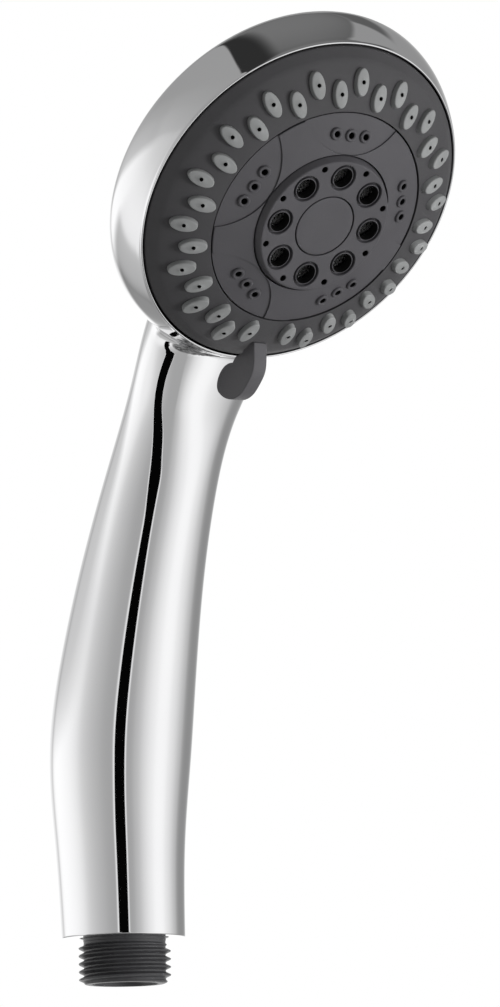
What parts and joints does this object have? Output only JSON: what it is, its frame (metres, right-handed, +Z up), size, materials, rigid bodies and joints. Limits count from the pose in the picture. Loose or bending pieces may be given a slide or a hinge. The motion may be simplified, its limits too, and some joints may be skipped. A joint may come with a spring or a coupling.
{
  "type": "handheld shower head",
  "caption": "Curved chrome hand shower with a tilted round spray face, raised rubber nozzles, a selector lever and a threaded hose inlet.",
  "frame": {"origin": "centre of the inlet thread's end face, on the thread's axis", "axes": "+Z up the thread's axis, from the thread's open end into the handle; X = 0 is the plane of symmetry; the spray face looks towards -Y and is tilted 36.8 degrees downwards"},
  "size_m": [0.0852, 0.1145, 0.2099],
  "materials": {
    "chrome": "bright chrome plate on moulded ABS",
    "ring_plastic": "dark grey ABS with a fine matt grain",
    "disc_plastic": "mid grey ABS with a fine matt grain",
    "dark_plastic": "charcoal moulded plastic, satin",
    "silicone": "light grey moulded silicone, dull",
    "inner_plastic": "natural white moulded ABS",
    "acetal": "natural acetal, slightly glossy",
    "rubber": "black EPDM",
    "steel": "stainless steel"
  },
  "bodies": {
    "handset": {"body_shell": "chrome", "inlet_connector": "dark_plastic", "inlet_filter": "steel", "flow_restrictor": "acetal", "check_valve_cage": "acetal", "check_valve_spring": "steel", "connector_o_ring": "rubber", "waterway_tube": "inner_plastic", "valve_base": "inner_plastic", "port_seal": "rubber", "port_seal_spring": "steel", "detent_spring": "steel", "base_screw_1": "steel", "base_screw_2": "steel", "base_screw_3": "steel", "base_screw_4": "steel", "pivot_screw": "steel", "pivot_washer": "steel", "pivot_o_ring": "rubber"},
    "spray_face": {"port_plate": "acetal", "channel_plate": "inner_plastic", "rain_nozzle_mat": "silicone", "outer_ring": "ring_plastic", "selector_lever": "ring_plastic", "inner_disc": "disc_plastic", "aerator_screen": "steel", "centre_boss": "disc_plastic", "centre_cap": "disc_plastic"},
    "turbine": {"massage_turbine": "acetal"},
    "detent": {"detent_plunger": "acetal"},
    "check_poppet": {"check_valve_poppet": "acetal", "check_valve_seal": "rubber"}
  },
  "joints": [
    {"name": "selector_turn", "type": "hinge", "parent": "handset", "child": "spray_face", "pos_m": [0, -0.07263, 0.16957], "axis": [0, -0.8005, -0.5993], "range_deg": [-60, 60]},
    {"name": "turbine_spin", "type": "hinge", "parent": "spray_face", "child": "turbine", "pos_m": [0, -0.07263, 0.16957], "axis": [0, -0.8005, -0.5993], "continuous": true},
    {"name": "detent_press", "type": "slide", "parent": "handset", "child": "detent", "axis": [0, 0.8005, 0.5993], "range_m": [0, 0.0008], "stiffness_N_per_m": 400, "springref_m": -0.001, "deforming": ["detent_spring"]},
    {"name": "check_valve_lift", "type": "slide", "parent": "handset", "child": "check_poppet", "axis": [0, 0, 1], "range_m": [0, 0.0025], "stiffness_N_per_m": 60, "springref_m": -0.001, "deforming": ["check_valve_spring"]}
  ]
}
